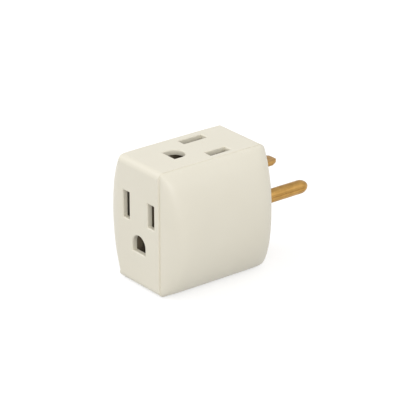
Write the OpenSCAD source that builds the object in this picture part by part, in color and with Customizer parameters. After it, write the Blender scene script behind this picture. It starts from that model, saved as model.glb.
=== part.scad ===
// Cube outlet adapter: one grounded plug at the back feeds three grounded outlets, on the
// front, the top and the bottom. A square core carries the outlets, and a bulging cover
// closes it on each side.
// X runs across the width, Y from the front outlet to the plug, Z up. The origin is the
// middle of the bottom face.

/* [Housing] */
// Height of the housing, from the bottom outlet's face to the top outlet's
body_height = 41.8; // [40.8:0.2:44]
// Depth of the housing, from the front outlet's face to the face with the plug
body_depth = 41.9; // [41.3:0.2:44]
// Least distance between a pin's passage and a seam, which sets the width of the flat faces
passage_margin = 1.25; // [1.05:0.05:1.6]
// How far the front face stands proud of the covers
front_step = 0.4; // [0.2:0.05:0.6]
// How far each cover bulges, from where its curve begins
cover_bulge = 9.2; // [7.6:0.2:10]
// Distance from a seam back to where the cover's curve begins
crown_lead = 0.7; // [0.4:0.05:0.9]
// Wall of the core
wall = 1.8; // [1.6:0.1:2.2]
// Wall of the covers
cover_wall = 2.6; // [2.5:0.1:3]
// Radius of the core's long edges
edge_radius = 2.3; // [1.5:0.1:3]
// How squarely a cover turns at its front and back
cover_end_power = 9; // [6:0.5:12]
// How full a cover is from top to bottom
cover_crown_power = 1.8; // [1.6:0.1:2.4]
// Leg of the bevel along the two long edges of the front face
front_seam_bevel = 0.35; // [0.2:0.05:0.4]
// Leg of the bevel along the seams of the other faces
seam_bevel = 0.12; // [0.1:0.02:0.2]

/* [Outlets] */
// Distance between the two blade slots of an outlet
blade_pitch = 12.7; // [12.6:0.05:12.8]
// Distance from the line of the slots to the middle of the ground hole
ground_offset = 11.9; // [11.7:0.1:12.1]
// Distance from the middle of a face to the line of its slots
outlet_shift = 5.3; // [5:0.1:5.6]
// Width of a blade slot
slot_width = 3.3; // [2.6:0.1:3.5]
// Length of the neutral slot
neutral_slot = 9.2; // [8.6:0.1:9.4]
// Length of the hot slot
hot_slot = 8.0; // [7.4:0.1:8.2]
// Radius of the round side of a ground hole
ground_hole_radius = 3.3; // [3:0.05:3.4]
// Distance from the middle of a ground hole to its flat side
ground_hole_flat = 2.5; // [2.3:0.1:2.7]
// Width of the bevel round each opening
mouth_bevel = 0.2; // [0.1:0.05:0.4]

/* [Plug] */
// Width of a blade
blade_width = 6.35; // [6.2:0.05:6.5]
// Thickness of a blade
blade_thickness = 1.5; // [1.4:0.05:1.6]
// Length of a blade outside the housing
blade_length = 16.4; // [15.8:0.2:18.2]
// Diameter of the hole in a blade
blade_hole = 3.2; // [2.8:0.1:3.6]
// Distance from the housing to the hole in a blade
blade_hole_reach = 11.9; // [11.5:0.1:12.3]
// Length of the slanted corners of a blade's tip
blade_tip = 2.6; // [1.6:0.1:3]
// Width of the slanted corners of a blade's tip
blade_tip_side = 1.6; // [1:0.1:2]
// How much thinner a blade gets on each side of its tip
blade_tip_thin = 0.35; // [0.2:0.05:0.5]
// Diameter of the ground pin
ground_pin_width = 4.5; // [4.4:0.05:4.8]
// Length of the ground pin outside the housing
ground_pin_length = 20.8; // [20:0.2:21]
// Width of the groove where the edges of the rolled ground pin meet
ground_pin_groove = 0.5; // [0.3:0.05:0.8]

/* [Contacts] */
// Thickness of the bus strips
bus_thickness = 0.8; // [0.6:0.05:0.9]
// Thickness of the contact springs
spring_thickness = 0.6; // [0.5:0.05:0.65]
// Width of a blade contact, and of the strip that carries it
contact_width = 5.0; // [4.4:0.1:5.4]
// Width of a ground contact
ground_contact_width = 4.0; // [3.4:0.1:4.4]
// Gap that a blade contact leaves at its throat
throat_gap = 1.6; // [1.5:0.05:1.7]
// Gap left on each side of a ground pin by a relaxed ground contact
ground_grip = 0.15; // [0.05:0.05:0.2]
// How far a contact's arms stand wide of the throat at their roots and lips
arm_spread = 0.2; // [0.15:0.05:0.25]
// Depth kept free behind an outlet's face for an inserted blade
blade_room = 18.2; // [17.8:0.1:18.4]
// Depth kept free behind an outlet's face for an inserted ground pin
ground_pin_room = 21.2; // [20.8:0.1:21.4]
// Distance from an outlet's face to the lips of its contacts
contact_reach = 3.2; // [3:0.1:4]
// Height of the riveted tab on a blade, and of the strip it meets
tab_height = 5.0; // [4.8:0.1:5.2]
// Thickness of the insulating barriers
barrier_thickness = 0.8; // [0.6:0.05:0.9]
// Radius of a rivet's shank
rivet_radius = 1.1; // [0.9:0.05:1.3]
// Radius of a rivet's head
rivet_head_radius = 1.9; // [1.6:0.05:2]
// Thickness of a rivet's head
rivet_head = 0.8; // [0.6:0.05:0.9]

/* [Fits] */
// Clearance between pieces that slide together
fit = 0.1; // [0.05:0.01:0.15]
// Room round the rivets' heads
rivet_room = 0.75; // [0.6:0.05:1]
// Radius of a cover's support posts
post_radius = 1.6; // [1.3:0.1:1.8]
// Thickness of a cover's locating tongues
tongue = 1.2; // [1:0.05:1.3]
// How far a locating tongue reaches into the core
tongue_reach = 0.9; // [0.6:0.05:0.9]

/* [Hidden] */
plastic = [0.90, 0.88, 0.80];
dull_plastic = [0.75, 0.72, 0.65];
brass = [0.72, 0.50, 0.20];
bronze = [0.78, 0.60, 0.36];
fibre = [0.45, 0.40, 0.33];
$fn = 48;
// how far a cutter runs past the face that it opens
past = 1;

front_y = -body_depth / 2;
cover_front_y = front_y + front_step;
cover_depth = body_depth - front_step;
cover_mid_y = front_step / 2;
back_y = body_depth / 2;
mid_z = body_height / 2;
slot_x = blade_pitch / 2;
ground_shift = outlet_shift - ground_offset;

// the plug is turned on its side: both blades lie flat, one above the other
plug_blade_x = -outlet_shift;
plug_ground_x = ground_offset - outlet_shift;
hot_blade_z = mid_z + blade_pitch / 2;
neutral_blade_z = mid_z - blade_pitch / 2;
// the housing is as wide as the plug's pins need
pins_reach = max(plug_ground_x + ground_pin_width / 2, blade_width / 2 - plug_blade_x);
seam_x = pins_reach + fit + passage_margin;

// contact springs, measured down from an outlet's face
arm_outside = throat_gap / 2 + arm_spread + spring_thickness;
blade_root = blade_room + spring_thickness;
ground_root = ground_pin_room + spring_thickness;
ground_arm = ground_pin_width / 2 + ground_grip;

// the bus plates stand just outside the contacts, and the barriers just inside
bus_x = slot_x + arm_outside;
bus_outside = bus_x + bus_thickness;
barrier_x = ground_arm + spring_thickness + 2 * fit;

// planes across the back of the core, from the bottom ground contact to the plug's wall
strap_front = -ground_shift + ground_contact_width / 2 + rivet_room + rivet_head;
tab_front = strap_front + bus_thickness;
holder_front = tab_front + blade_thickness;
holder_back = back_y - wall - fit;
holder_depth = holder_back - holder_front;
barrier_back = strap_front - rivet_head - 3 * fit;
hot_tab_z = hot_blade_z + blade_thickness / 2;
neutral_tab_z = neutral_blade_z - blade_thickness / 2;
hot_rivet_z = hot_tab_z + tab_height / 2;
neutral_rivet_z = neutral_tab_z - tab_height / 2;
// the tab's bend takes up the first part of its height
bend_room = 0.6;

// Puts what is drawn on a flat outlet, facing +Z with the ground hole towards -Y, on one
// of the three faces: 0 is the front, 1 the top and 2 the bottom.
module on_face(face) {
    place = [[0, front_y, mid_z], [0, 0, body_height], [0, 0, 0]][face];
    turn = [[90, 0, 0], [0, 0, 0], [180, 0, 0]][face];
    translate(place) rotate(turn) children();
}

// outline of a slot, grown by a margin on every side
function slot_outline(width, length, grow) =
    let (w = width / 2 + grow, l = length / 2 + grow)
    [[w, -l], [w, l], [-w, l], [-w, -l]];

// outline of a ground hole: round towards the slots, flat on the far side
function arch_outline(grow, steps = 16) =
    let (r = ground_hole_radius + grow, low = ground_hole_flat + grow)
    concat([[-r, -low], [r, -low]], [for (i = [0:steps]) r * [cos(180 * i / steps), sin(180 * i / steps)]]);

// A ring of walls between a small outline at the bottom and a large one at the top.
module flare(small, large, low, high) {
    n = len(small);
    points = concat([for (p = small) [p[0], p[1], low]], [for (p = large) [p[0], p[1], high]]);
    sides = [for (i = [0:n - 1]) let (j = (i + 1) % n) [i, i + n, j + n, j]];
    polyhedron(points, concat(sides, [[for (i = [0:n - 1]) i]], [[for (i = [n - 1:-1:0]) i + n]]));
}

module slot_opening(length) {
    straight = slot_outline(slot_width, length, 0);
    translate([0, 0, -wall - past]) linear_extrude(wall + 2 * past) polygon(straight);
    flare(slot_outline(slot_width, length, -mouth_bevel / 2), slot_outline(slot_width, length, 2 * mouth_bevel),
        -1.5 * mouth_bevel, mouth_bevel);
}

module arch_opening() {
    translate([0, 0, -wall - past]) linear_extrude(wall + 2 * past) {
        intersection() {
            circle(ground_hole_radius);
            translate([-2 * ground_hole_radius, 0]) square(4 * ground_hole_radius);
        }
        translate([-ground_hole_radius, -ground_hole_flat])
            square([2 * ground_hole_radius, ground_hole_flat + past / 4]);
    }
    flare(arch_outline(-mouth_bevel / 2), arch_outline(2 * mouth_bevel), -1.5 * mouth_bevel, mouth_bevel);
}

// one grounded outlet's three openings
module outlet_openings() {
    translate([-slot_x, outlet_shift, 0]) slot_opening(neutral_slot);
    translate([slot_x, outlet_shift, 0]) slot_opening(hot_slot);
    translate([0, ground_shift, 0]) arch_opening();
}

// rectangle in the Y-Z plane with round corners, as a plate between two X values
module rounded_plate(low_x, high_x, depth, height, radius) {
    translate([low_x, 0, mid_z]) rotate([90, 0, 90]) linear_extrude(high_x - low_x) {
        square([depth - 2 * radius, height], center = true);
        square([depth, height - 2 * radius], center = true);
        for (a = [-1, 1], b = [-1, 1])
            translate([a * (depth / 2 - radius), b * (height / 2 - radius)]) circle(radius);
    }
}

// bevels along the four edges of the core at one seam: deep on the front, fine elsewhere
module seam_bevels() {
    for (side = [-1, 1]) translate([side * seam_x, 0, 0]) {
        translate([0, front_y, mid_z])
            linear_extrude(body_height - 2 * edge_radius, center = true)
                rotate(45) square(front_seam_bevel * sqrt(2), center = true);
        translate([0, back_y, mid_z])
            linear_extrude(body_height, center = true) rotate(45) square(seam_bevel * sqrt(2), center = true);
        for (z = [0, body_height]) translate([0, 0, z]) rotate([90, 0, 0])
            linear_extrude(body_depth, center = true) rotate(45) square(seam_bevel * sqrt(2), center = true);
    }
}

module blade_passage(z) {
    translate([plug_blade_x, back_y - wall / 2, z])
        cube([blade_width + 2 * fit, wall + 2 * past, blade_thickness + 2 * fit], center = true);
}

module outlet_core() {
    color(plastic) difference() {
        rounded_plate(-seam_x, seam_x, body_depth, body_height, edge_radius);
        rounded_plate(-seam_x - past, seam_x + past, body_depth - 2 * wall, body_height - 2 * wall, 2 * fit);
        for (face = [0:2]) on_face(face) outlet_openings();
        blade_passage(hot_blade_z);
        blade_passage(neutral_blade_z);
        translate([plug_ground_x, back_y - wall - past, mid_z]) rotate([-90, 0, 0])
            cylinder(d = ground_pin_width + 2 * fit, h = wall + 2 * past);
        seam_bevels();
    }
}

// Height of a cover above its seam at a place on its face, for the outer or inner skin.
function cover_height(y, z, depth, height, bulge) =
    bulge * sqrt(max(0, 1 - pow(min(1, abs(2 * y / depth)), cover_end_power)))
          * sqrt(max(0, 1 - pow(min(1, abs(2 * z / height)), cover_crown_power)));

// moves a point of the square grid inside the rounded corners of the outline
function inside_corners(y, z, depth, height, radius) =
    let (
        dy = max(0, abs(y) - (depth / 2 - radius)),
        dz = max(0, abs(z) - (height / 2 - radius)),
        reach = norm([dy, dz]),
        keep = reach > radius ? radius / reach : 1
    )
    [sign(y) * (min(abs(y), depth / 2 - radius) + dy * keep),
     sign(z) * (min(abs(z), height / 2 - radius) + dz * keep)];

// A cushion on the plane of the seam: a grid of points raised by cover_height, closer
// together towards the edges, where it curves most.
module cushion(depth, height, bulge, radius, across, up) {
    points = [for (i = [0:across], j = [0:up]) let (
        y = depth / 2 * sin(180 * i / across - 90),
        z = height / 2 * sin(180 * j / up - 90),
        at = inside_corners(y, z, depth, height, radius)
    ) [cover_height(y, z, depth, height, bulge), at[0], at[1]]];
    row = up + 1;
    skin = [for (i = [0:across - 1], j = [0:up - 1]) each [
        [i * row + j, (i + 1) * row + j + 1, (i + 1) * row + j],
        [i * row + j, i * row + j + 1, (i + 1) * row + j + 1]
    ]];
    rim = concat(
        [for (i = [0:across]) i * row],
        [for (j = [1:up]) across * row + j],
        [for (i = [across - 1:-1:0]) i * row + up],
        [for (j = [up - 1:-1:1]) j]
    );
    translate([seam_x - crown_lead, cover_mid_y, mid_z]) polyhedron(points, concat(skin, [rim]), convexity = 4);
}

// points across and up a cover's outer skin
skin_steps = [28, 32];
cavity_steps = skin_steps / 2;
cavity_depth = cover_depth - 2 * cover_wall;
cavity_height = body_height - 2 * cover_wall;
cavity_bulge = cover_bulge - cover_wall;

// post that holds a bus plate or the pin holder in its place, rooted in the cover's wall
module post(y, z, end_x) {
    root = cover_height(y - cover_mid_y, z - mid_z, cavity_depth, cavity_height, cavity_bulge) + cover_wall / 2;
    translate([end_x, y, z]) rotate([0, 90, 0]) cylinder(r = post_radius, h = seam_x - crown_lead + root - end_x);
}

// tongue that enters the core and lies against one of its walls
module tongue_along_y(z, length) {
    translate([seam_x - tongue_reach, -length / 2, z]) cube([2 * tongue_reach, length, tongue]);
}

module tongue_along_z(y, low_z, high_z) {
    translate([seam_x - tongue_reach, y, low_z]) cube([2 * tongue_reach, tongue, high_z - low_z]);
}

module cover() {
    seat = wall + fit;
    difference() {
        cushion(cover_depth, body_height, cover_bulge, edge_radius, skin_steps[0], skin_steps[1]);
        cushion(cavity_depth, cavity_height, cavity_bulge, edge_radius / 2, cavity_steps[0], cavity_steps[1]);
        translate([seam_x - crown_lead - past, -body_depth, -past])
            cube([crown_lead + past, 2 * body_depth, body_height + 2 * past]);
    }
    tongue_along_y(seat, cover_depth / 2);
    tongue_along_y(body_height - seat - tongue, cover_depth / 2);
    tongue_along_z(front_y + seat, mid_z - body_height / 4, mid_z + body_height / 4);
    for (z = [neutral_rivet_z, hot_rivet_z])
        tongue_along_z(back_y - seat - tongue, z - tab_height / 3, z + tab_height / 3);
    // one post behind each contact's strip, and two on the pin holder
    post(front_y + blade_root / 2, mid_z + outlet_shift, bus_outside);
    post(outlet_shift, body_height - blade_root / 2, bus_outside);
    post(-outlet_shift, blade_root / 2, bus_outside);
    for (z = [neutral_rivet_z, hot_rivet_z]) post(holder_front + holder_depth / 2, z, holder_x);
}

module right_cover() {
    color(plastic) cover();
}

module left_cover() {
    color(plastic) mirror([1, 0, 0]) cover();
}

holder_x = seam_x - tongue_reach - fit;
holder_height = blade_pitch + 2 * tab_height + blade_thickness;

// block behind the plug's wall, with a passage for each pin
module pin_holder() {
    color(dull_plastic) difference() {
        translate([-holder_x, holder_front, mid_z - holder_height / 2])
            cube([2 * holder_x, holder_depth, holder_height]);
        for (z = [hot_blade_z, neutral_blade_z])
            translate([plug_blade_x, holder_front + holder_depth / 2, z])
                cube([blade_width + 2 * fit, holder_depth + 2 * past, blade_thickness + 2 * fit], center = true);
        translate([plug_ground_x, holder_front - past, mid_z]) rotate([-90, 0, 0])
            cylinder(d = ground_pin_width + 2 * fit, h = holder_depth + 2 * past);
    }
}

// outline of a blade seen from above, with slanted corners at the tip
module blade_outline() {
    half = blade_width / 2;
    tip = back_y + blade_length;
    polygon([
        [-half, tab_front], [half, tab_front], [half, tip - blade_tip],
        [half - blade_tip_side, tip], [-half + blade_tip_side, tip], [-half, tip - blade_tip]
    ]);
}

// the same blade seen from its edge, thinner towards the tip
module blade_edge() {
    half = blade_thickness / 2;
    tip = back_y + blade_length;
    polygon([
        [tab_front, -half], [tip - blade_tip, -half], [tip, -half + blade_tip_thin],
        [tip, half - blade_tip_thin], [tip - blade_tip, half], [tab_front, half]
    ]);
}

// a flat blade, with its inner end turned up or down into a riveted tab
module blade(z, turn) {
    translate([plug_blade_x, 0, z]) difference() {
        union() {
            intersection() {
                linear_extrude(blade_thickness, center = true) blade_outline();
                rotate([90, 0, 90]) linear_extrude(blade_width, center = true) blade_edge();
            }
            translate([-blade_width / 2, tab_front, turn > 0 ? 0 : -tab_height - blade_thickness / 2])
                cube([blade_width, blade_thickness, tab_height + blade_thickness / 2]);
        }
        translate([0, back_y + blade_hole_reach, 0])
            cylinder(d = blade_hole, h = blade_thickness + 2 * past, center = true);
        translate([0, tab_front + blade_thickness / 2, turn * (tab_height + blade_thickness) / 2])
            rotate([90, 0, 0]) cylinder(r = rivet_radius + fit / 2, h = blade_thickness + 2 * past, center = true);
    }
}

module hot_blade() {
    color(brass) blade(hot_blade_z, 1);
}

module neutral_blade() {
    color(brass) blade(neutral_blade_z, -1);
}

// round pin rolled from strip, with a rounded nose and a groove where the strip's edges meet
module ground_pin() {
    half = ground_pin_width / 2;
    length = back_y + ground_pin_length - tab_front;
    color(brass) translate([plug_ground_x, tab_front, mid_z]) difference() {
        rotate([-90, 0, 0]) rotate_extrude() {
            square([half, length - half]);
            intersection() {
                translate([0, length - half]) circle(half);
                translate([0, length - half]) square(half);
            }
        }
        // the groove starts outside the housing and faces away from the blades
        translate([half, back_y - tab_front + ground_pin_groove, 0]) rotate([0, 45, 0])
            translate([-ground_pin_groove / 2, 0, -ground_pin_groove / 2])
                cube([ground_pin_groove, length, ground_pin_groove]);
        rotate([90, 0, 0]) cylinder(r = rivet_radius + fit / 2, h = 4 * rivet_head, center = true);
    }
}

// strip in the Y-Z plane, between two corners
module strip(low_y, low_z, high_y, high_z) {
    translate([bus_x, low_y, low_z]) cube([bus_thickness, high_y - low_y, high_z - low_z]);
}

// A bus plate on the +X side: one strip behind each blade contact, and a strip between
// them that the front outlet's strip runs on into.
module bus_plate() {
    half = contact_width / 2;
    strip(front_y + contact_reach, mid_z + outlet_shift - half, outlet_shift + half, mid_z + outlet_shift + half);
    strip(outlet_shift - half, body_height - blade_root, outlet_shift + half, body_height - contact_reach);
    strip(-outlet_shift - half, contact_reach, -outlet_shift + half, mid_z + outlet_shift);
}

// strap across the back of the core, to a blade's tab, with a hole for the rivet
module strap(low_x, high_x, low_z, hole_x, hole_z, height) {
    difference() {
        translate([low_x, strap_front, low_z]) cube([high_x - low_x, bus_thickness, height]);
        translate([hole_x, strap_front, hole_z]) rotate([90, 0, 0])
            cylinder(r = rivet_radius + fit / 2, h = 4 * bus_thickness, center = true);
    }
}

strap_height = tab_height - bend_room;

module hot_bus() {
    low = hot_tab_z + bend_room;
    color(bronze) {
        bus_plate();
        strip(outlet_shift, low, tab_front, low + strap_height);
        strap(plug_blade_x - blade_width / 2, bus_outside, low, plug_blade_x, hot_rivet_z, strap_height);
    }
}

module neutral_bus() {
    low = neutral_tab_z - tab_height;
    color(bronze) {
        mirror([1, 0, 0]) {
            bus_plate();
            strip(-outlet_shift, low, tab_front, low + strap_height);
        }
        strap(-bus_outside, plug_blade_x + blade_width / 2, low, plug_blade_x, neutral_rivet_z, strap_height);
    }
}

// planes of the ground bus, a strip folded in steps between the three ground contacts
ground_front_y = front_y + ground_root;
ground_top_z = body_height - ground_root;
ground_bottom_z = ground_root;
// ends of the upright part, which reaches from the front contact to both of the others
upright_low = min(mid_z + ground_shift - ground_contact_width / 2, ground_top_z - bus_thickness);
upright_high = max(ground_bottom_z + bus_thickness, ground_top_z);
// ends of the strap to the ground pin, which carries the rivet and meets the lower part
ground_strap_low = min(mid_z - rivet_head_radius, ground_bottom_z);
ground_strap_high = max(mid_z + rivet_head_radius, ground_bottom_z + bus_thickness);

module ground_bus() {
    half = ground_contact_width / 2;
    color(bronze) {
        translate([-half, ground_shift - half, ground_top_z - bus_thickness])
            cube([2 * half, ground_front_y + bus_thickness - ground_shift + half, bus_thickness]);
        translate([-half, ground_front_y, upright_low])
            cube([2 * half, bus_thickness, upright_high - upright_low]);
        translate([-half, ground_front_y, ground_bottom_z])
            cube([2 * half, tab_front - ground_front_y, bus_thickness]);
        strap(-half, plug_ground_x + rivet_head_radius, ground_strap_low,
            plug_ground_x, mid_z, ground_strap_high - ground_strap_low);
    }
}

// Spring contact as a bent strip, seen from its edge: it rises from the root, narrows at
// the throat and opens again at the lips.
module spring_clip(half_gap, spread, root, width) {
    wide = half_gap + spread;
    lips = -contact_reach;
    throat = lips - 2.4;
    outside = wide + spring_thickness;
    inner = [[wide, spring_thickness - root], [wide, throat - 3.6], [half_gap, throat],
        [half_gap, throat + 0.8], [wide, lips]];
    outer = [[outside, lips], [half_gap + spring_thickness, throat + 0.8], [half_gap + spring_thickness, throat],
        [outside, throat - 3.6], [outside, -root]];
    arm = concat(inner, outer);
    rotate([90, 0, 0]) linear_extrude(width, center = true)
        polygon(concat(arm, [for (i = [len(arm) - 1:-1:0]) [-arm[i][0], arm[i][1]]]));
}

module blade_contact(face, side) {
    color(bronze) on_face(face) translate([side * slot_x, outlet_shift, 0])
        spring_clip(throat_gap / 2, arm_spread, blade_root, contact_width);
}

module ground_contact(face) {
    color(bronze) on_face(face) translate([0, ground_shift, 0])
        spring_clip(ground_arm - arm_spread / 2, arm_spread / 2, ground_root, ground_contact_width);
}

// insulating sheet between the ground contacts and one set of blade contacts
module barrier(side) {
    inset = wall + fit;
    color(fibre) translate([side > 0 ? barrier_x : -barrier_x - barrier_thickness, front_y + inset, inset])
        cube([barrier_thickness, barrier_back - front_y - inset, body_height - 2 * inset]);
}

// rivet with its head on the bus strap and its shank in the blade's tab or the ground pin
module rivet(x, z, reach) {
    color(brass) translate([x, strap_front, z]) rotate([-90, 0, 0]) {
        translate([0, 0, -rivet_head]) cylinder(r = rivet_head_radius, h = rivet_head);
        cylinder(r = rivet_radius, h = bus_thickness + reach);
    }
}

outlet_core();
left_cover();
right_cover();
pin_holder();
hot_blade();
neutral_blade();
ground_pin();
hot_bus();
neutral_bus();
ground_bus();
blade_contact(0, 1);  // front_hot_contact
blade_contact(0, -1);  // front_neutral_contact
ground_contact(0);  // front_ground_contact
blade_contact(1, 1);  // top_hot_contact
blade_contact(1, -1);  // top_neutral_contact
ground_contact(1);  // top_ground_contact
blade_contact(2, 1);  // bottom_hot_contact
blade_contact(2, -1);  // bottom_neutral_contact
ground_contact(2);  // bottom_ground_contact
barrier(1);  // hot_barrier
barrier(-1);  // neutral_barrier
rivet(plug_blade_x, hot_rivet_z, blade_thickness);  // hot_rivet
rivet(plug_blade_x, neutral_rivet_z, blade_thickness);  // neutral_rivet
rivet(plug_ground_x, mid_z, rivet_head);  // ground_rivet
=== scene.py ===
import math

import bpy
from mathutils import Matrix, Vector


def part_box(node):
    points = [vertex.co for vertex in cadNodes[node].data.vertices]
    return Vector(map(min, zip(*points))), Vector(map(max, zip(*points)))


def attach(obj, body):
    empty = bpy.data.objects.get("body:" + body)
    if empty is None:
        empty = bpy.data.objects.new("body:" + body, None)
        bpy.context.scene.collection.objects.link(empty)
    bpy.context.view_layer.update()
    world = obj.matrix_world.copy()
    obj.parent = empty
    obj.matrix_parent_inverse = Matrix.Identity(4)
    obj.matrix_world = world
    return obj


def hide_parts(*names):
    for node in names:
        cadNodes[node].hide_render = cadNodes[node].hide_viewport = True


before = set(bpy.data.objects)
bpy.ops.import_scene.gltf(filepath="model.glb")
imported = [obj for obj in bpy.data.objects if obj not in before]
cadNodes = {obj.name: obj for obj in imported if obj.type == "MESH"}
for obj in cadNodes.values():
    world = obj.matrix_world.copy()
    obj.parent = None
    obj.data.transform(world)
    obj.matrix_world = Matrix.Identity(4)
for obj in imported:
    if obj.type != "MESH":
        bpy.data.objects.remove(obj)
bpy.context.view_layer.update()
mm = 0.001
print("frame loaded:", len(cadNodes), "nodes")


# selecting and editing

def deselectAll():
    active = bpy.context.object
    if active and active.mode != "OBJECT":
        bpy.ops.object.mode_set(mode="OBJECT")
    bpy.ops.object.select_all(action="DESELECT")


def pick(piece):
    deselectAll()
    piece.select_set(True)
    bpy.context.view_layer.objects.active = piece


def added(name):
    piece = bpy.context.object
    piece.name = name
    piece.data.name = name
    return piece


def settle(piece):  # place, turn and size go into the mesh
    pick(piece)
    bpy.ops.object.transform_apply(location=True, rotation=True, scale=True)


def startEdit(piece, mode="FACE"):
    pick(piece)
    bpy.ops.object.mode_set(mode="EDIT")
    bpy.ops.mesh.select_mode(type=mode)
    bpy.ops.mesh.select_all(action="DESELECT")


def endEdit():
    bpy.ops.object.mode_set(mode="OBJECT")


def choose(piece, kind, test):  # selects vertices, edges or faces by their place
    bpy.ops.mesh.select_all(action="DESELECT")
    bpy.ops.object.mode_set(mode="OBJECT")
    mesh = piece.data
    corners = mesh.vertices
    found = 0
    if kind == "VERT":
        for vertex in corners:
            vertex.select = test(vertex.co)
            found += vertex.select
    elif kind == "EDGE":
        for edge in mesh.edges:
            start, end = (corners[i].co for i in edge.vertices)
            edge.select = test(start, end)
            found += edge.select
    else:
        for face in mesh.polygons:
            face.select = test(face.center, face.normal)
            found += face.select
    bpy.ops.object.mode_set(mode="EDIT")
    return found


def finishWith(piece, kind, **settings):  # adds one modifier and applies it
    pick(piece)
    modifier = piece.modifiers.new(kind.title(), kind)
    for name, value in settings.items():
        setattr(modifier, name, value)
    bpy.ops.object.modifier_apply(modifier=modifier.name)


def cutAway(piece, cutter):
    finishWith(piece, "BOOLEAN", operation="DIFFERENCE", solver="EXACT", object=cutter)
    bpy.data.objects.remove(cutter)


def joined(pieces, name):
    pick(pieces[0])
    for piece in pieces:
        piece.select_set(True)
    bpy.ops.object.join()
    return added(name)


def softenEdges(piece, width, segments=2, angle=35):
    finishWith(piece, "BEVEL", width=width, segments=segments, limit_method="ANGLE", angle_limit=math.radians(angle),
               use_clamp_overlap=True, harden_normals=False)
    pick(piece)
    bpy.ops.object.shade_smooth_by_angle(angle=math.radians(30))


def addBlock(name, low, high):
    centre = [(a + b) / 2 for a, b in zip(low, high)]
    size = [b - a for a, b in zip(low, high)]
    deselectAll()
    bpy.ops.mesh.primitive_cube_add(size=1, location=centre, scale=size)
    block = added(name)
    settle(block)
    return block


# cutters for one grounded outlet, drawn facing +Z with the ground hole towards -Y
outlet = {
    "slotPitch": 12.7 * mm,
    "slotShift": 5.3 * mm,
    "groundShift": -6.6 * mm,
    "slotWidth": 3.3 * mm,
    "neutralLength": 9.2 * mm,
    "hotLength": 8.0 * mm,
    "holeRadius": 3.3 * mm,
    "holeFlat": 2.5 * mm,
    "mouthBevel": 0.28 * mm,
    "depth": 2.8 * mm,
}


def slotCutter(name, x, length):
    bevel = outlet["mouthBevel"]
    width = outlet["slotWidth"]
    y = outlet["slotShift"]
    cutter = addBlock(name, (x - width / 2, y - length / 2, -outlet["depth"]), (x + width / 2, y + length / 2, -bevel))
    startEdit(cutter)
    choose(cutter, "FACE", lambda centre, normal: normal.z > 0.9)
    bpy.ops.mesh.extrude_region_move(TRANSFORM_OT_translate={"value": (0, 0, 2 * bevel)})
    grow = (1 + 4 * bevel / width, 1 + 4 * bevel / length, 1)
    bpy.ops.transform.resize(value=grow, center_override=(x, y, bevel))
    endEdit()
    return cutter


def holeCutter(name):
    bevel = outlet["mouthBevel"]
    radius = outlet["holeRadius"]
    flat = outlet["holeFlat"]
    y = outlet["groundShift"]
    deselectAll()
    bpy.ops.mesh.primitive_cylinder_add(vertices=64, radius=radius, depth=outlet["depth"] - bevel,
                                        location=(0, y, -(outlet["depth"] + bevel) / 2))
    cutter = added(name)
    settle(cutter)
    startEdit(cutter)
    bpy.ops.mesh.select_all(action="SELECT")
    bpy.ops.mesh.bisect(plane_co=(0, y, 0), plane_no=(0, 1, 0), use_fill=True, clear_inner=True)
    choose(cutter, "FACE", lambda centre, normal: normal.y < -0.9)
    bpy.ops.mesh.extrude_region_move(TRANSFORM_OT_translate={"value": (0, -flat, 0)})
    choose(cutter, "FACE", lambda centre, normal: normal.z > 0.9)
    bpy.ops.mesh.extrude_region_move(TRANSFORM_OT_translate={"value": (0, 0, 2 * bevel)})
    grow = 4 * bevel / (radius + flat)
    middle = radius - 2 * bevel / grow  # the round side and the flat side move out by the same amount
    bpy.ops.transform.resize(value=(1 + 2 * bevel / radius, 1 + grow, 1), center_override=(0, y + middle, bevel))
    bpy.ops.mesh.select_all(action="SELECT")
    bpy.ops.mesh.remove_doubles(threshold=1e-6)
    bpy.ops.mesh.normals_make_consistent(inside=False)
    endEdit()
    return cutter


def outletCutters():
    half = outlet["slotPitch"] / 2
    return joined([
        slotCutter("neutralCutter", -half, outlet["neutralLength"]),
        slotCutter("hotCutter", half, outlet["hotLength"]),
        holeCutter("groundCutter"),
    ], "outletCutter")


# the band with the three outlets, open at both sides
band = {
    "wall": 1.8 * mm,
    "edgeRadius": 2.3 * mm,
    "edgeSteps": 12,
    "frontRidge": 0.4 * mm,
    "softening": 0.18 * mm,
    "passageRoom": 0.1 * mm,
}


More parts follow.
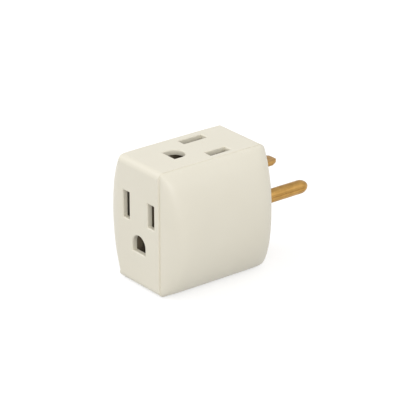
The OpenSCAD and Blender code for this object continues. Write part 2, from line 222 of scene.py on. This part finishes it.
def makeBand():
    low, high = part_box("outlet_core")
    core = addBlock("outletBand", low, high)
    startEdit(core, "EDGE")
    choose(core, "EDGE", lambda start, end: abs(start.x - end.x) > 1 * mm)
    bpy.ops.mesh.bevel(offset=band["edgeRadius"], segments=band["edgeSteps"], profile=0.5)
    bpy.ops.mesh.select_mode(type="FACE")
    choose(core, "FACE", lambda centre, normal: abs(normal.x) > 0.9)
    bpy.ops.mesh.delete(type="FACE")
    endEdit()
    finishWith(core, "SOLIDIFY", thickness=band["wall"], offset=-1, use_even_offset=True)
    startEdit(core, "EDGE")
    # the two front edges beside the seams are broken, which leaves a narrow ridge of light
    straight = high.z - low.z - 2 * band["edgeRadius"] - 0.1 * mm
    choose(core, "EDGE", lambda start, end: start.y < low.y + 0.01 * mm and end.y < low.y + 0.01 * mm
           and abs(start.z - end.z) > straight and abs(start.x) > high.x - 0.01 * mm)
    bpy.ops.mesh.bevel(offset=band["frontRidge"], segments=5, profile=0.5)
    endEdit()

    middle = (low.z + high.z) / 2
    turns = [((0, low.y, middle), (90, 0, 0)), ((0, 0, high.z), (0, 0, 0)), ((0, 0, low.z), (180, 0, 0))]
    pattern = outletCutters()
    for place, turn in turns:
        cutter = pattern.copy()
        cutter.data = pattern.data.copy()
        bpy.context.scene.collection.objects.link(cutter)
        cutter.location = place
        cutter.rotation_euler = [math.radians(angle) for angle in turn]
        settle(cutter)
        cutAway(core, cutter)
    bpy.data.objects.remove(pattern)

    room = Vector((1, 0, 1)) * band["passageRoom"]
    through = 2 * band["wall"]
    for node, tabUp in (("hot_blade", True), ("neutral_blade", False)):
        bladeLow, bladeHigh = bladeStrip(node, tabUp)
        cutAway(core, addBlock("bladePassage", Vector((bladeLow.x, high.y - through, bladeLow.z)) - room,
                               Vector((bladeHigh.x, high.y + through, bladeHigh.z)) + room))
    cutAway(core, roundBar("pinPassage", band["passageRoom"], high.y - through, high.y + through))

    # the edges of the openings lose their sharpness, and the seams keep theirs
    startEdit(core, "EDGE")
    bpy.ops.mesh.edges_select_sharp(sharpness=math.radians(35))
    bpy.ops.object.mode_set(mode="OBJECT")
    corners = core.data.vertices
    for edge in core.data.edges:
        if all(abs(corners[i].co.x) > high.x - 2 * band["frontRidge"] for i in edge.vertices):
            edge.select = False
    bpy.ops.object.mode_set(mode="EDIT")
    bpy.ops.mesh.bevel(offset=band["softening"], segments=2, profile=0.5, clamp_overlap=True)
    endEdit()
    pick(core)
    bpy.ops.object.shade_smooth_by_angle(angle=math.radians(30))
    finishWith(core, "WEIGHTED_NORMAL", keep_sharp=True)
    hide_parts("outlet_core")
    return core


# one bulging cover; the other one is its mirror image
cover = {
    "endPower": 9,
    "crownPower": 2.1,
    "crownLead": 0.7 * mm,
    "frontRadius": 1.7 * mm,
    "backRadius": 2.3 * mm,
    "shoulder": 1.4 * mm,
    "shoulderDrop": 0.1 * mm,
    "wall": 2.6 * mm,
    "stepsAcross": 40,
    "stepsUp": 44,
}


def makeCover(name, node, side):
    low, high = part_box(node)
    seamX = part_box("outlet_core")[1].x
    crownX = seamX - cover["crownLead"]
    bulge = (high.x if side > 0 else -low.x) - crownX
    halfDepth = (high.y - low.y) / 2
    halfHeight = (high.z - low.z) / 2
    middle = (low.z + high.z) / 2
    across = cover["stepsAcross"]
    up = cover["stepsUp"]
    deselectAll()
    bpy.ops.mesh.primitive_grid_add(x_subdivisions=across, y_subdivisions=up, size=2)
    shell = added(name)
    startEdit(shell, "VERT")
    # the sheet is stood up, and its rows and columns crowd towards the edges, where it turns
    bpy.ops.mesh.select_all(action="SELECT")
    bpy.ops.transform.translate(value=(0, 0, 1))
    for step in range(across + 1):
        x = 2 * step / across - 1
        reach = math.sin(x * math.pi / 2)
        choose(shell, "VERT", lambda co: abs(co.x - x) < 0.2 / across)
        rise = math.sqrt(max(0, 1 - abs(reach) ** cover["endPower"]))
        bpy.ops.transform.resize(value=(1, 1, rise), center_override=(0, 0, 0))
        bpy.ops.transform.translate(value=(10 + reach - x, 0, 0))  # 10 keeps the done columns out of reach
    bpy.ops.mesh.select_all(action="SELECT")
    bpy.ops.transform.translate(value=(-10, 0, 0))
    for step in range(up + 1):
        y = 2 * step / up - 1
        reach = math.sin(y * math.pi / 2)
        choose(shell, "VERT", lambda co: abs(co.y - y) < 0.2 / up)
        rise = math.sqrt(max(0, 1 - abs(reach) ** cover["crownPower"]))
        bpy.ops.transform.resize(value=(1, 1, rise), center_override=(0, 0, 0))
        bpy.ops.transform.translate(value=(0, 10 + reach - y, 0))
    bpy.ops.mesh.select_all(action="SELECT")
    bpy.ops.transform.translate(value=(0, -10, 0))
    bpy.ops.transform.resize(value=(halfDepth, halfHeight, bulge), center_override=(0, 0, 0))
    endEdit()

    # corners of the outline, drawn in to their radius
    startEdit(shell, "VERT")
    outside = []
    for vertex in shell.data.vertices:
        radius = cover["frontRadius"] if vertex.co.x < 0 else cover["backRadius"]
        past = Vector((max(0, abs(vertex.co.x) - halfDepth + radius), max(0, abs(vertex.co.y) - halfHeight + radius), 0))
        if past.length > radius:
            pull = past * (radius / past.length - 1)
            outside.append((vertex.co.copy(), (math.copysign(pull.x, -vertex.co.x), math.copysign(pull.y, -vertex.co.y), 0)))
    for place, pull in outside:
        choose(shell, "VERT", lambda co: (co - place).length < 1e-7)
        bpy.ops.transform.translate(value=pull)
    endEdit()

    shell.rotation_euler = (math.radians(90), 0, math.radians(90))
    shell.location = (crownX, (low.y + high.y) / 2, middle)
    settle(shell)
    startEdit(shell)  # the sheet is trimmed where it meets the band
    bpy.ops.mesh.select_all(action="SELECT")
    bpy.ops.mesh.bisect(plane_co=(seamX, 0, 0), plane_no=(1, 0, 0), clear_inner=True)
    # beside the front face it dips towards the seam in a soft shoulder
    for share in (0.25, 0.5, 0.75, 1):
        bpy.ops.mesh.select_all(action="SELECT")
        bpy.ops.mesh.bisect(plane_co=(seamX + share * cover["shoulder"], 0, 0), plane_no=(1, 0, 0))
    bpy.ops.mesh.select_mode(type="VERT")
    straight = halfHeight - cover["frontRadius"]
    for share in (0, 0.25, 0.5, 0.75):
        dip = cover["shoulderDrop"] * (1 - share) ** 2
        x = seamX + share * cover["shoulder"]
        choose(shell, "VERT", lambda co: abs(co.x - x) < 0.01 * mm and co.y < low.y + 1 * mm
               and abs(co.z - middle) < straight)
        bpy.ops.transform.translate(value=(0, dip, 0))
    endEdit()
    if side < 0:
        startEdit(shell)
        bpy.ops.mesh.select_all(action="SELECT")
        bpy.ops.transform.resize(value=(-1, 1, 1), center_override=(0, 0, 0))
        endEdit()
    startEdit(shell)
    bpy.ops.mesh.select_all(action="SELECT")
    bpy.ops.mesh.normals_make_consistent(inside=False)
    endEdit()
    middleFace = max(shell.data.polygons, key=lambda face: side * face.center.x)
    if side * middleFace.normal.x < 0:
        startEdit(shell)
        bpy.ops.mesh.select_all(action="SELECT")
        bpy.ops.mesh.flip_normals()
        endEdit()
    finishWith(shell, "SOLIDIFY", thickness=cover["wall"], offset=-1, use_even_offset=False)
    pick(shell)
    bpy.ops.object.shade_smooth_by_angle(angle=math.radians(40))
    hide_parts(node)
    return shell


# the flat blades of the plug, each with a turned-up tab inside the housing
plugBlade = {
    "thickness": 1.5 * mm,
    "tipLength": 2.6 * mm,
    "tipSide": 1.35 * mm,
    "tipThin": 0.2 * mm,
    "tipRounding": 0.5 * mm,
    "holeRadius": 1.6 * mm,
    "holeReach": 11.9 * mm,
    "coining": 0.1 * mm,
}


def bladeStrip(node, tabUp):
    low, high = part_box(node)
    bottom = low.z if tabUp else high.z - plugBlade["thickness"]
    return Vector((low.x, low.y, bottom)), Vector((high.x, high.y, bottom + plugBlade["thickness"]))


def makeBlade(name, node, tabUp):
    low, high = bladeStrip(node, tabUp)
    thick = plugBlade["thickness"]
    middle = (low + high) / 2
    blade = addBlock(name, low, (high.x, high.y - plugBlade["tipLength"], high.z))
    startEdit(blade)
    choose(blade, "FACE", lambda centre, normal: normal.y > 0.9)
    bpy.ops.mesh.extrude_region_move(TRANSFORM_OT_translate={"value": (0, plugBlade["tipLength"], 0)})
    narrow = 1 - 2 * plugBlade["tipSide"] / (high.x - low.x)
    bpy.ops.transform.resize(value=(narrow, 1, 1 - 2 * plugBlade["tipThin"] / thick),
                             center_override=(middle.x, high.y, middle.z))
    bpy.ops.mesh.select_mode(type="EDGE")
    choose(blade, "EDGE", lambda start, end: min(start.y, end.y) > high.y - 0.01 * mm and abs(start.x - end.x) < 0.01 * mm)
    bpy.ops.mesh.bevel(offset=plugBlade["tipRounding"], segments=5, profile=0.5, clamp_overlap=True)
    bpy.ops.mesh.select_mode(type="FACE")
    # the strip is parted one thickness from its inner end, and that part is drawn up or down into the tab
    bpy.ops.mesh.select_all(action="SELECT")
    bpy.ops.mesh.bisect(plane_co=(0, low.y + thick, 0), plane_no=(0, 1, 0))
    facing = 1 if tabUp else -1
    choose(blade, "FACE", lambda centre, normal: centre.y < low.y + thick and facing * normal.z > 0.9)
    nodeLow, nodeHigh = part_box(node)
    tab = nodeHigh.z - nodeLow.z - thick
    bpy.ops.mesh.extrude_region_move(TRANSFORM_OT_translate={"value": (0, 0, facing * tab)})
    endEdit()
    deselectAll()
    place = (middle.x, cadBack + plugBlade["holeReach"], middle.z)
    bpy.ops.mesh.primitive_cylinder_add(vertices=40, radius=plugBlade["holeRadius"], depth=4 * thick, location=place)
    cutter = added("bladeHole")
    settle(cutter)
    cutAway(blade, cutter)
    softenEdges(blade, plugBlade["coining"])
    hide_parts(node)
    return blade


# the round ground pin, rolled from strip: its edges meet in a groove on the side away from the blades
groundPin = {
    "sides": 64,
    "noseSteps": 14,
    "noseLength": 3.1 * mm,
    "nosePower": 1.75,
    "groove": 0.5 * mm,
    "softening": 0.06 * mm,
}


def roundBar(name, grow, start, end):
    low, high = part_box("ground_pin")
    middle = (low + high) / 2
    deselectAll()
    bpy.ops.mesh.primitive_cylinder_add(vertices=groundPin["sides"], radius=(high.z - low.z) / 2 + grow,
                                        depth=end - start, location=(middle.x, (start + end) / 2, middle.z),
                                        rotation=(math.radians(90), 0, 0))
    bar = added(name)
    settle(bar)
    return bar


def makeGroundPin():
    low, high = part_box("ground_pin")
    middle = (low + high) / 2
    radius = (high.z - low.z) / 2
    pin = roundBar("groundPin", 0, low.y, high.y - groundPin["noseLength"])
    startEdit(pin)
    choose(pin, "FACE", lambda centre, normal: normal.y > 0.9)
    # the bullet nose is drawn out ring by ring, and the rings crowd towards its end
    reach, width = 0, 1
    for step in range(1, groundPin["noseSteps"] + 1):
        nextReach = math.sin(0.5 * math.pi * step / groundPin["noseSteps"])
        nextWidth = max(0.02, (1 - nextReach ** groundPin["nosePower"]) ** (1 / groundPin["nosePower"]))
        bpy.ops.mesh.extrude_region_move(
            TRANSFORM_OT_translate={"value": (0, (nextReach - reach) * groundPin["noseLength"], 0)})
        bpy.ops.transform.resize(value=(nextWidth / width, 1, nextWidth / width), center_override=(middle.x, 0, middle.z))
        reach, width = nextReach, nextWidth
    endEdit()
    half = groundPin["groove"] / 2
    grooveStart = cadBack + groundPin["groove"]
    cutter = addBlock("groove", (-half, grooveStart, -half), (half, high.y + radius, half))
    cutter.rotation_euler = (0, math.radians(45), 0)
    cutter.location = (middle.x + radius, 0, middle.z)
    settle(cutter)
    cutAway(pin, cutter)
    softenEdges(pin, groundPin["softening"])
    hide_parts("ground_pin")
    return pin


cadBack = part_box("outlet_core")[1].y
outletBand = makeBand()
print("band:", len(outletBand.data.polygons), "faces")
rightCover = makeCover("rightCover", "right_cover", 1)
leftCover = makeCover("leftCover", "left_cover", -1)
print("covers:", len(rightCover.data.polygons), "faces each")
hotBlade = makeBlade("hotBlade", "hot_blade", True)
neutralBlade = makeBlade("neutralBlade", "neutral_blade", False)
plugPin = makeGroundPin()
print("plug:", len(plugPin.data.polygons), "faces on the ground pin")

for piece in (outletBand, rightCover, leftCover, hotBlade, neutralBlade, plugPin):
    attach(piece, "root")


# materials

class Wire:  # a socket that adds its Math nodes as it is used in sums
    def __init__(self, owner, socket):
        self.owner = owner
        self.socket = socket

    def sum(self, operation, first, second):
        return self.owner.node("ShaderNodeMath", {"operation": operation}, {0: first, 1: second})

    def __add__(self, other):
        return self.sum("ADD", self, other)

    def __radd__(self, other):
        return self.sum("ADD", other, self)

    def __sub__(self, other):
        return self.sum("SUBTRACT", self, other)

    def __rsub__(self, other):
        return self.sum("SUBTRACT", other, self)

    def __mul__(self, other):
        return self.sum("MULTIPLY", self, other)

    def __rmul__(self, other):
        return self.sum("MULTIPLY", other, self)


class Tree:
    def __init__(self, tree):
        self.tree = tree

    def node(self, kind, settings=None, values=None, output=0):
        made = self.tree.nodes.new(kind)
        for name, value in (settings or {}).items():
            if name == "stops":
                self.setStops(made.color_ramp, value)
            else:
                setattr(made, name, value)
        for name, value in (values or {}).items():
            if isinstance(value, Wire):
                self.tree.links.new(value.socket, made.inputs[name])
            else:
                made.inputs[name].default_value = value
        return Wire(self, made.outputs[output])

    def setStops(self, ramp, stops):
        while len(ramp.elements) < len(stops):
            ramp.elements.new(0.5)
        for element, (place, value) in zip(ramp.elements, stops):
            element.position = place
            element.color = (value, value, value, 1)

    def rays(self, kind):  # 1 for rays of that kind, 0 for the others
        return self.node("ShaderNodeLightPath", output="Is %s Ray" % kind)


class Finish(Tree):
    def __init__(self, name, **shader):
        self.material = bpy.data.materials.new(name)
        self.material.use_nodes = True
        Tree.__init__(self, self.material.node_tree)
        self.tree.nodes.clear()
        self.surface = self.tree.nodes.new("ShaderNodeBsdfPrincipled")
        for socket, value in shader.items():
            self.surface.inputs[socket.replace("_", " ")].default_value = value
        output = self.tree.nodes.new("ShaderNodeOutputMaterial")
        self.tree.links.new(self.surface.outputs["BSDF"], output.inputs["Surface"])

    def place(self, size=(1, 1, 1)):
        here = self.node("ShaderNodeTexCoord", output="Object")
        return self.node("ShaderNodeMapping", {}, {"Vector": here, "Scale": size})

    def noise(self, scale, detail=3, roughness=0.5, size=(1, 1, 1)):
        values = {"Vector": self.place(size), "Scale": scale, "Detail": detail, "Roughness": roughness}
        return self.node("ShaderNodeTexNoise", {}, values)

    def mix(self, share, first, second):
        settings = {"data_type": "RGBA"}
        values = {0: share, 6: first, 7: second}
        return self.node("ShaderNodeMix", settings, values, output=2)

    def feed(self, socket, wire):
        self.tree.links.new(wire.socket, self.surface.inputs[socket])

    def bump(self, height, strength, distance):
        return self.node("ShaderNodeBump", {}, {"Height": height, "Strength": strength, "Distance": distance}, "Normal")


def plain(colour):
    return (*colour, 1)


ivoryLook = {
    "colour": (0.80, 0.755, 0.63),
    "paler": (0.83, 0.79, 0.67),
    "roughness": 0.42,
    "grain": 0.05,
}


def ivoryPlastic(name, look):
    finish = Finish(name, IOR=1.49, Coat_Roughness=0.3)
    drift = finish.noise(55, detail=2)
    finish.feed("Base Color", finish.mix(drift, plain(look["colour"]), plain(look["paler"])))
    grain = finish.noise(2600, detail=4, roughness=0.6)
    finish.feed("Roughness", look["roughness"] + (grain - 0.5) * 0.12)
    waves = finish.noise(160, detail=1)
    finish.feed("Normal", finish.bump(grain * 0.35 + waves, look["grain"], 0.0001))
    return finish.material


brassLook = {
    "colour": (0.51, 0.3, 0.095),
    "darker": (0.35, 0.195, 0.052),
    "roughness": 0.32,
}


def rolledBrass(name, look, along):
    finish = Finish(name, Metallic=1.0, IOR=1.5)
    streaks = finish.noise(900, detail=4, roughness=0.65, size=along)
    cloud = finish.noise(420, detail=3)
    shade = finish.node("ShaderNodeValToRGB", {"stops": [(0.35, 0), (0.68, 1)]}, {"Fac": streaks * 0.6 + cloud * 0.4})
    finish.feed("Base Color", finish.mix(shade, plain(look["darker"]), plain(look["colour"])))
    finish.feed("Roughness", look["roughness"] + (1 - shade) * 0.2)
    finish.feed("Normal", finish.bump(streaks, 0.12, 0.0001))
    return finish.material


def pressedFibre(name, colour, paler):
    finish = Finish(name, Roughness=0.8, IOR=1.45)
    threads = finish.noise(1400, detail=5, roughness=0.7, size=(1, 1, 0.35))
    finish.feed("Base Color", finish.mix(threads, plain(colour), plain(paler)))
    finish.feed("Normal", finish.bump(threads, 0.2, 0.0001))
    return finish.material


def wear(piece, material):
    piece.data.materials.clear()
    piece.data.materials.append(material)


ivory = ivoryPlastic("ivoryPlastic", ivoryLook)
innerPlastic = ivoryPlastic("holderPlastic", {"colour": (0.45, 0.42, 0.35), "paler": (0.5, 0.47, 0.4),
                                              "roughness": 0.5, "grain": 0.1})
plugBrass = rolledBrass("plugBrass", brassLook, (1, 0.06, 1))
busBronze = rolledBrass("busBronze", {"colour": (0.6, 0.42, 0.2), "darker": (0.42, 0.28, 0.12), "roughness": 0.36},
                        (1, 1, 0.1))
contactBronze = rolledBrass("contactBronze", {"colour": (0.4, 0.36, 0.26), "darker": (0.27, 0.24, 0.17),
                                              "roughness": 0.42}, (1, 0.5, 0.5))
rivetBrass = rolledBrass("rivetBrass", {"colour": (0.7, 0.5, 0.22), "darker": (0.55, 0.37, 0.14), "roughness": 0.25},
                         (1, 1, 1))
barrierFibre = pressedFibre("barrierFibre", (0.12, 0.095, 0.065), (0.2, 0.16, 0.11))

for piece in (outletBand, rightCover, leftCover):
    wear(piece, ivory)
for piece in (hotBlade, neutralBlade, plugPin):
    wear(piece, plugBrass)

shown = {"pin_holder": innerPlastic, "barrier": barrierFibre, "bus": busBronze, "contact": contactBronze,
         "rivet": rivetBrass}
for name, node in cadNodes.items():
    for ending, material in shown.items():
        if name.endswith(ending):
            for slot in node.material_slots:
                slot.material = material
print("materials done")

# floor, light and camera
stage = {"floorColour": (0.5, 0.5, 0.5), "floorGlow": 0.62, "mirroredGlow": 0.8, "worldStrength": 0.67}

deselectAll()
bpy.ops.mesh.primitive_plane_add(size=8, location=(0, 0, -0.0002))
floor = added("floor")
floorFinish = Finish("paleFloor", Roughness=0.9)
floorFinish.surface.inputs["Base Color"].default_value = plain(stage["floorColour"])
floorFinish.surface.inputs["Emission Color"].default_value = (1, 1, 1, 1)
floorFinish.feed("Emission Strength",
                 floorFinish.rays("Camera") * stage["floorGlow"] + floorFinish.rays("Glossy") * stage["mirroredGlow"])
wear(floor, floorFinish.material)

world = bpy.data.worlds.new("softWhite")
bpy.context.scene.world = world
world.use_nodes = True
background = world.node_tree.nodes["Background"]
background.inputs["Color"].default_value = (1, 1, 1, 1)
sky = Tree(world.node_tree)
backdrop = (sky.rays("Camera") + sky.rays("Glossy")) * (1 - stage["worldStrength"]) + stage["worldStrength"]
sky.tree.links.new(backdrop.socket, background.inputs["Strength"])


def addLamp(name, place, size, power, aim=(0, 0, 0.02)):
    deselectAll()
    bpy.ops.object.light_add(type="AREA", location=place)
    lamp = bpy.context.object
    lamp.name = name
    lamp.data.shape = "SQUARE"
    lamp.data.size = size
    lamp.data.energy = power
    lamp.rotation_euler = (Vector(place) - Vector(aim)).to_track_quat("Z", "Y").to_euler()
    return lamp


addLamp("keyLamp", (0.85, -0.65, 0.5), 0.7, 4.3)
addLamp("leftLamp", (-0.7, -0.6, 0.9), 0.7, 4)
addLamp("backLamp", (0.75, 0.7, 0.7), 0.7, 1.2)

camera = {
    "azimuth": 51.899,
    "elevation": 23.584,
    "distance": 0.785151,
    "focalPixels": 2488.958,
    "photoWidth": 420,
    "lookAt": (0, -0.00055, 0.019),
    "slideRight": 0.00618,
    "slideUp": 0.001886,
}


def placeCamera():
    azimuth = math.radians(camera["azimuth"])
    elevation = math.radians(camera["elevation"])
    back = Vector((math.sin(azimuth) * math.cos(elevation), -math.cos(azimuth) * math.cos(elevation), math.sin(elevation)))
    right = Vector((math.cos(azimuth), math.sin(azimuth), 0))
    up = right.cross(-back)
    aim = Vector(camera["lookAt"]) + right * camera["slideRight"] + up * camera["slideUp"]
    deselectAll()
    bpy.ops.object.camera_add(location=aim + back * camera["distance"])
    eye = bpy.context.object
    eye.rotation_euler = (-back).to_track_quat("-Z", "Y").to_euler()
    eye.data.sensor_width = 36
    eye.data.lens = camera["focalPixels"] * 36 / camera["photoWidth"]
    eye.data.clip_start = 0.01
    eye.data.clip_end = 50
    bpy.context.scene.camera = eye


placeCamera()
bpy.context.scene.view_settings.view_transform = "Standard"
print("stage, light and camera done")
